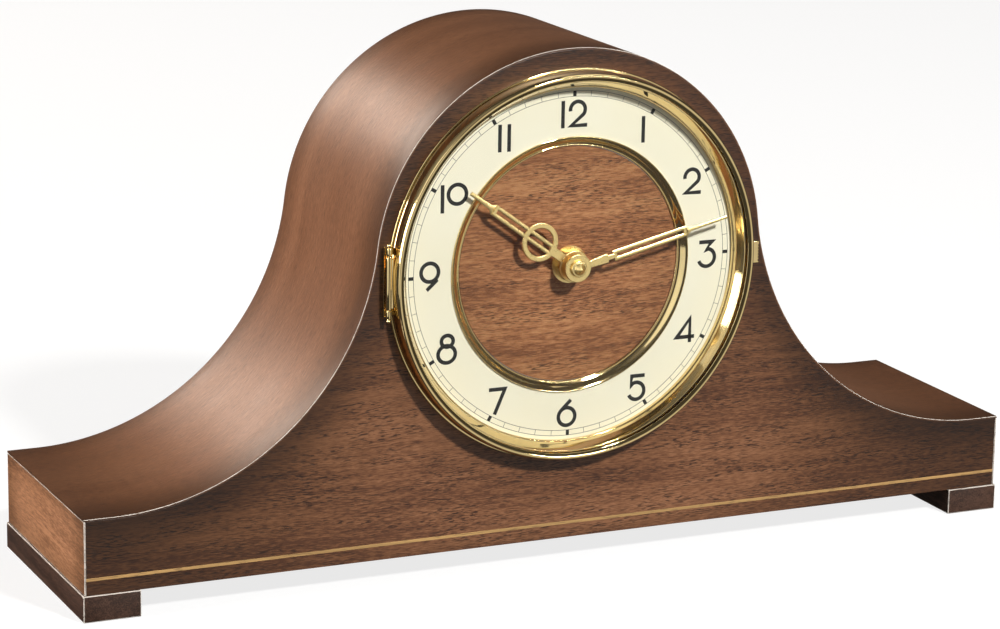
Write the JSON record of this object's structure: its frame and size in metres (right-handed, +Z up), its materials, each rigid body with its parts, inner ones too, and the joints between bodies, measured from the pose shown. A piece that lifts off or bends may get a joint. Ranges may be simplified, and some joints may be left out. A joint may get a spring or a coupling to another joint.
{
  "type": "mantel clock",
  "caption": "Tambour mantel clock: wooden case with a hump over a round dial behind a hinged, domed glass bezel, on two feet.",
  "frame": {"origin": "on the surface that the clock stands on, at the middle of its bounding box", "axes": "+X to the right as seen from the front, +Y from the dial to the back, +Z up"},
  "size_m": [0.4314, 0.1294, 0.2235],
  "materials": {
    "face_walnut": "satin lacquered walnut veneer",
    "top_walnut": "satin lacquered walnut veneer, grain along the bend",
    "end_walnut": "satin lacquered walnut veneer",
    "foot_walnut": "dark stained solid wood",
    "back_walnut": "dark stained board",
    "inlay_maple": "light inlay under lacquer",
    "bare_wood": "bare sawn wood",
    "polished_brass": "polished and lacquered",
    "hand_brass": "bright gilt",
    "hardware_brass": "satin",
    "dial_cream": "matt cream enamel",
    "clear_glass": "clear",
    "steel_plate": "zinc plated",
    "dark_magnet": "dark sintered magnet",
    "white_plastic": "moulded",
    "black_plastic": "moulded",
    "grey_plastic": "moulded",
    "board_green": "circuit board",
    "coil_wire": "enamelled copper winding",
    "battery_wrap": "plain printed sleeve",
    "cone_paper": "black paper",
    "lead_sleeve": "flexible sleeve"
  },
  "bodies": {
    "case": {"front_board": "bare_wood", "front_veneer": "face_walnut", "inlay_strip": "inlay_maple", "top_skin": "bare_wood", "top_veneer": "top_walnut", "end_panel_left": "bare_wood", "end_panel_right": "bare_wood", "end_veneers": "end_walnut", "back_board": "back_walnut", "base_board": "bare_wood", "foot_left": "foot_walnut", "foot_right": "foot_walnut", "foot_screws": "steel_plate", "glue_blocks": "bare_wood", "base_ring": "polished_brass", "hinge_knuckles": "polished_brass", "hinge_pin": "polished_brass", "wood_screws": "hardware_brass", "chapter_ring": "dial_cream", "centre_ring": "polished_brass", "centre_disc": "face_walnut", "dial_plate": "steel_plate", "dial_clips": "steel_plate", "movement_front_case": "black_plastic", "movement_rear_case": "grey_plastic", "movement_screws": "steel_plate", "train_plate": "white_plastic", "fixing_washer": "hand_brass", "fixing_nut": "hand_brass", "circuit_board": "board_green", "stator": "steel_plate", "coil": "coil_wire", "battery": "battery_wrap", "battery_contacts": "steel_plate", "speaker_basket": "steel_plate", "speaker_cone": "cone_paper", "speaker_magnet": "dark_magnet", "speaker_lead": "lead_sleeve", "rear_frame_leaves": "hardware_brass", "rear_hinge_pins": "hardware_brass"},
    "bezel_door": {"bezel_ring": "polished_brass", "glass_retainer": "polished_brass", "dome_glass": "clear_glass", "door_knuckle": "polished_brass", "lift_tab": "polished_brass"},
    "minute_group": {"minute_hand": "hand_brass", "hand_nut": "hand_brass", "minute_arbor": "hand_brass"},
    "hour_group": {"hour_hand": "hand_brass", "hour_wheel": "white_plastic"},
    "motion_wheel": {"minute_wheel": "white_plastic"},
    "third_wheel_group": {"third_wheel": "white_plastic"},
    "fourth_wheel_group": {"fourth_wheel": "white_plastic"},
    "rotor_group": {"rotor": "dark_magnet"},
    "set_knob_group": {"set_knob": "black_plastic"},
    "switch_group": {"melody_switch": "black_plastic"},
    "cover_group": {"battery_cover": "grey_plastic"},
    "rear_door_group": {"rear_door": "back_walnut", "rear_door_knob": "hardware_brass", "rear_door_leaves": "hardware_brass"}
  },
  "joints": [
    {"name": "bezel_hinge", "type": "hinge", "parent": "case", "child": "bezel_door", "pos_m": [-0.0848, -0.0541, 0.1309], "axis": [0, 0, -1], "range_deg": [0, 110]},
    {"name": "minute_turn", "type": "hinge", "parent": "case", "child": "minute_group", "pos_m": [0, -0.0505, 0.1309], "axis": [0, 1, 0], "continuous": true},
    {"name": "hour_turn", "type": "hinge", "parent": "case", "child": "hour_group", "pos_m": [0, -0.0505, 0.1309], "axis": [0, 1, 0], "continuous": true},
    {"name": "motion_wheel_turn", "type": "hinge", "parent": "case", "child": "motion_wheel", "pos_m": [-0.01044, -0.0405, 0.12487], "axis": [0, 1, 0], "continuous": true},
    {"name": "third_wheel_turn", "type": "hinge", "parent": "case", "child": "third_wheel_group", "pos_m": [0, -0.0345, 0.14535], "axis": [0, 1, 0], "continuous": true},
    {"name": "fourth_wheel_turn", "type": "hinge", "parent": "case", "child": "fourth_wheel_group", "pos_m": [0.01229, -0.0325, 0.14535], "axis": [0, 1, 0], "continuous": true},
    {"name": "set_knob_turn", "type": "hinge", "parent": "case", "child": "set_knob_group", "pos_m": [-0.02176, -0.0305, 0.12075], "axis": [0, 1, 0], "continuous": true},
    {"name": "rotor_turn", "type": "hinge", "parent": "case", "child": "rotor_group", "pos_m": [0.0235, -0.0355, 0.1309], "axis": [0, 1, 0], "continuous": true},
    {"name": "switch_slide", "type": "slide", "parent": "case", "child": "switch_group", "axis": [1, 0, 0], "range_m": [-0.003, 0.003]},
    {"name": "cover_slide", "type": "slide", "parent": "case", "child": "cover_group", "axis": [0, 0, -1], "range_m": [0, 0.015]},
    {"name": "rear_door_hinge", "type": "hinge", "parent": "case", "child": "rear_door_group", "pos_m": [-0.05475, 0.0581, 0.121], "axis": [0, 0, 1], "range_deg": [0, 110]}
  ],
  "couplings": [
    {"joint": "hour_turn", "follows": "minute_turn", "ratio": 0.083333},
    {"joint": "motion_wheel_turn", "follows": "minute_turn", "ratio": -0.33333},
    {"joint": "third_wheel_turn", "follows": "minute_turn", "ratio": -8},
    {"joint": "fourth_wheel_turn", "follows": "minute_turn", "ratio": 60},
    {"joint": "set_knob_turn", "follows": "minute_turn", "ratio": 1}
  ]
}
